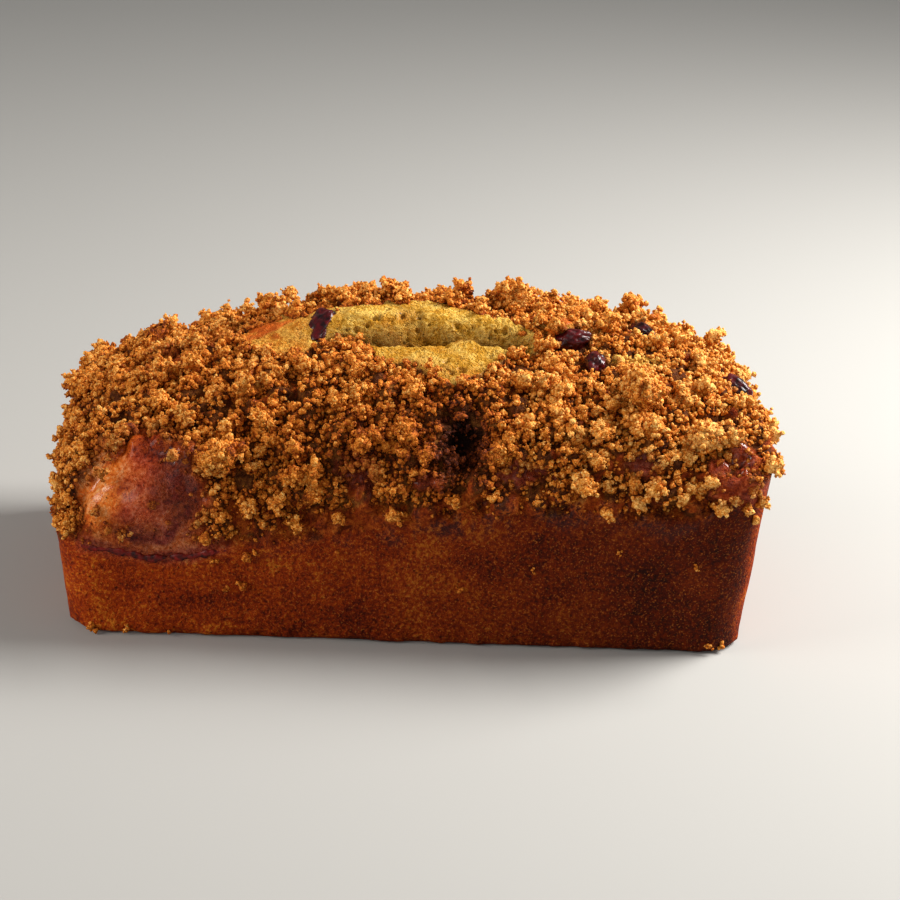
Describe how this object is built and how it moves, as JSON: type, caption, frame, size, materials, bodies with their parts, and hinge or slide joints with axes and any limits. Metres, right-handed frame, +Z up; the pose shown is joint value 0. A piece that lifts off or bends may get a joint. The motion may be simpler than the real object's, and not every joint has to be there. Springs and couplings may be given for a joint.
{
  "type": "pistachio cherry loaf cake with crumble topping",
  "caption": "Rectangular loaf cake with smooth flared sides, a split dome under baked crumble lumps, and cherry pieces set in the crust.",
  "frame": {"origin": "middle of the flat base, on the surface that the cake rests on", "axes": "+X along the loaf, +Z up; the split in the dome faces -Y"},
  "size_m": [0.2215, 0.1186, 0.0957],
  "materials": {
    "cake": "matte baked crust with crumble",
    "cherry": "glossy cooked fruit"
  },
  "bodies": {
    "root": {"loaf_cake": "cake", "cherry_left_of_split": "cherry", "cherry_right_of_split": "cherry", "cherry_front_right": "cherry", "cherry_crown": "cherry", "cherry_right_end": "cherry"}
  },
  "joints": []
}
